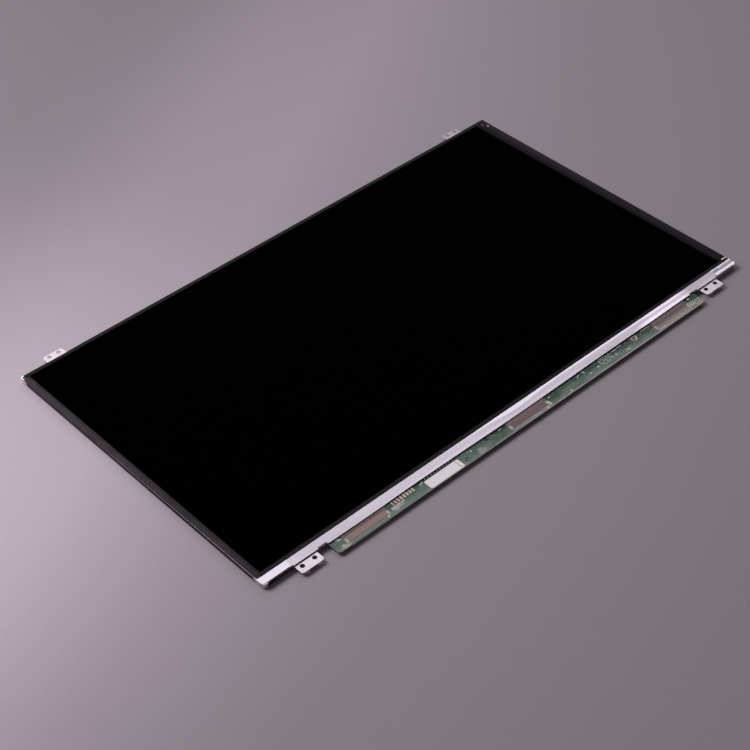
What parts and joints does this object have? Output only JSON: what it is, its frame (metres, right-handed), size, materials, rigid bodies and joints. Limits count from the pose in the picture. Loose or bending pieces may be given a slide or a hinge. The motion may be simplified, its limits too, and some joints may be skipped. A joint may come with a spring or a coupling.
{
  "type": "laptop screen panel",
  "caption": "Bare flat laptop screen panel in a shallow metal tray with corner mounting ears, a silver cover strip and a narrow driver board along its lower edge.",
  "frame": {"origin": "centre of the tray's flat back, halfway between its side walls and between its top and bottom walls", "axes": "+X along the long side to the viewer's right, +Y towards the top of the picture, +Z out of the screen"},
  "size_m": [0.3594, 0.2243, 0.0036],
  "materials": {
    "tray_metal": "satin",
    "black_plastic": "matt",
    "white_sheet": "matt",
    "clear_acrylic": "polished",
    "clear_sheet": "satin",
    "flex_film": "satin",
    "led_package": "matt",
    "cell_glass": "polished",
    "polariser": "anti-glare",
    "black_tape": "matt",
    "silver_foil": "satin, creased",
    "board_mask": "satin",
    "driver_film": "satin",
    "chip_plastic": "matt",
    "cream_plastic": "matt",
    "shell_steel": "satin",
    "gold_plate": "satin",
    "chip_ceramic": "matt",
    "label_paper": "matt"
  },
  "bodies": {
    "root": {"back_cover": "tray_metal", "mould_frame": "black_plastic", "reflector_sheet": "white_sheet", "light_guide": "clear_acrylic", "led_flex": "flex_film", "leds": "led_package", "diffuser_sheet": "white_sheet", "lower_prism_sheet": "clear_sheet", "upper_prism_sheet": "clear_sheet", "top_diffuser_sheet": "white_sheet", "cell_tape": "black_tape", "rear_polariser": "polariser", "array_glass": "cell_glass", "filter_glass": "cell_glass", "front_polariser": "polariser", "tape_left": "black_tape", "tape_right": "black_tape", "tape_top": "black_tape", "tape_bottom": "black_tape", "cover_strip": "silver_foil", "driver_board": "board_mask", "board_tape": "white_sheet", "driver_film_a": "driver_film", "driver_film_b": "driver_film", "driver_film_c": "driver_film", "driver_chips": "chip_plastic", "signal_connector": "cream_plastic", "connector_shell": "shell_steel", "connector_contacts": "gold_plate", "led_connector": "cream_plastic", "timing_controller": "chip_plastic", "led_driver": "chip_plastic", "level_shifter": "chip_plastic", "memory_chip": "chip_plastic", "power_coils": "chip_plastic", "front_capacitors": "chip_ceramic", "back_capacitors": "chip_ceramic", "back_resistors": "chip_plastic", "test_pads": "gold_plate", "board_label": "label_paper"}
  },
  "joints": []
}
